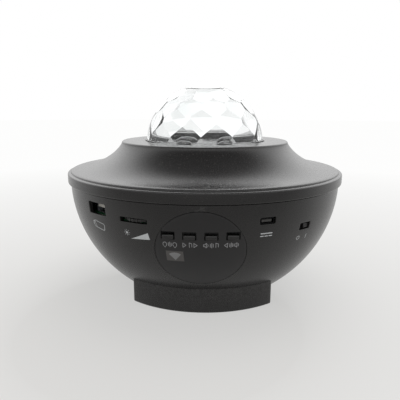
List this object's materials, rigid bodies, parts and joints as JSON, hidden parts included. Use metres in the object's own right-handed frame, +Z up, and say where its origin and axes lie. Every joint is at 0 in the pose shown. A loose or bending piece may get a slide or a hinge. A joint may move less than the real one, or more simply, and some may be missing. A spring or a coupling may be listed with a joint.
{
  "type": "disco light",
  "caption": "Table-top disco light: a clear faceted dome that turns over coloured lamps, on a saucer-shaped black body with a speaker, push buttons, a slide switch, a thumbwheel and sockets.",
  "frame": {"origin": "on the table under the dome's axis, at the undersides of the rubber pads", "axes": "+Z up along the dome's axis; the row of buttons faces -Y; +X is to the right of someone facing the buttons"},
  "size_m": [0.165, 0.165, 0.1196],
  "materials": {
    "black_shell": "black moulded plastic, fine satin grain",
    "label_film": "thin black printed film",
    "clear_plastic": "polished clear plastic",
    "rubber_pad": "matte black",
    "white_gear": "natural white acetal",
    "board_green": "green solder mask",
    "board_white": "white solder mask",
    "lamp_red": "red lamp chip",
    "lamp_green": "green lamp chip",
    "lamp_blue": "blue lamp chip",
    "lamp_white": "warm white lamp chip",
    "bright_steel": "bright zinc-plated steel",
    "dark_steel": "black-coated steel",
    "black_part": "black moulded part",
    "brass": "turned brass",
    "ferrite": "dark ferrite",
    "cone_paper": "black paper cone"
  },
  "bodies": {
    "base": {"bowl": "black_shell", "label": "label_film", "top_cover": "black_shell", "bottom_cover": "black_shell", "foot_pad_1": "rubber_pad", "foot_pad_2": "rubber_pad", "foot_pad_3": "rubber_pad", "foot_pad_4": "rubber_pad", "motor": "bright_steel", "motor_screw_1": "dark_steel", "motor_screw_2": "dark_steel", "chassis": "black_shell", "deck": "black_shell", "led_board": "board_white", "led_1": "lamp_red", "led_2": "lamp_green", "led_3": "lamp_blue", "led_4": "lamp_white", "lens_1": "clear_plastic", "lens_2": "clear_plastic", "lens_3": "clear_plastic", "lens_4": "clear_plastic", "laser": "brass", "laser_window": "clear_plastic", "main_board": "board_green", "usb_socket": "bright_steel", "power_inlet": "bright_steel", "switch_body": "black_part", "dimmer_body": "black_part", "key_switch_1": "black_part", "key_switch_2": "black_part", "key_switch_3": "black_part", "key_switch_4": "black_part", "remote_receiver": "black_part", "speaker_frame": "dark_steel", "speaker_magnet": "ferrite", "speaker_cone": "cone_paper", "cover_screw_1": "bright_steel", "cover_screw_2": "bright_steel", "cover_screw_3": "bright_steel", "base_screw_1": "bright_steel", "base_screw_2": "bright_steel", "base_screw_3": "bright_steel", "base_screw_4": "bright_steel", "board_screw_1": "bright_steel", "board_screw_2": "bright_steel", "chassis_screw_1": "bright_steel", "chassis_screw_2": "bright_steel", "chassis_screw_3": "bright_steel"},
    "dome_rotor": {"dome": "clear_plastic", "dome_carrier": "white_gear"},
    "pinion": {"motor_pinion": "white_gear"},
    "power_slider": {"switch_knob": "black_shell"},
    "brightness_wheel": {"dimmer_wheel": "black_shell"},
    "button_1": {"button_1": "black_shell"},
    "button_2": {"button_2": "black_shell"},
    "button_3": {"button_3": "black_shell"},
    "button_4": {"button_4": "black_shell"}
  },
  "joints": [
    {"name": "dome_spin", "type": "hinge", "parent": "base", "child": "dome_rotor", "pos_m": [0, 0, 0.0765], "axis": [0, 0, 1], "continuous": true},
    {"name": "pinion_spin", "type": "hinge", "parent": "base", "child": "pinion", "pos_m": [0.03767, 0.02175, 0.07], "axis": [0, 0, 1], "continuous": true},
    {"name": "power_slide", "type": "slide", "parent": "base", "child": "power_slider", "axis": [-0.7538, -0.6571, 0], "range_m": [0, 0.0025]},
    {"name": "brightness_turn", "type": "hinge", "parent": "base", "child": "brightness_wheel", "pos_m": [-0.02847, -0.06424, 0.0536], "axis": [0, 0, 1], "range_deg": [-150, 150]},
    {"name": "button_1_press", "type": "slide", "parent": "base", "child": "button_1", "axis": [0, 1, 0], "range_m": [0, 0.0005], "stiffness_N_per_m": 1500, "springref_m": -0.0003},
    {"name": "button_2_press", "type": "slide", "parent": "base", "child": "button_2", "axis": [0, 1, 0], "range_m": [0, 0.0005], "stiffness_N_per_m": 1500, "springref_m": -0.0003},
    {"name": "button_3_press", "type": "slide", "parent": "base", "child": "button_3", "axis": [0, 1, 0], "range_m": [0, 0.0005], "stiffness_N_per_m": 1500, "springref_m": -0.0003},
    {"name": "button_4_press", "type": "slide", "parent": "base", "child": "button_4", "axis": [0, 1, 0], "range_m": [0, 0.0005], "stiffness_N_per_m": 1500, "springref_m": -0.0003}
  ],
  "couplings": [
    {"joint": "pinion_spin", "follows": "dome_spin", "ratio": -4.8}
  ]
}
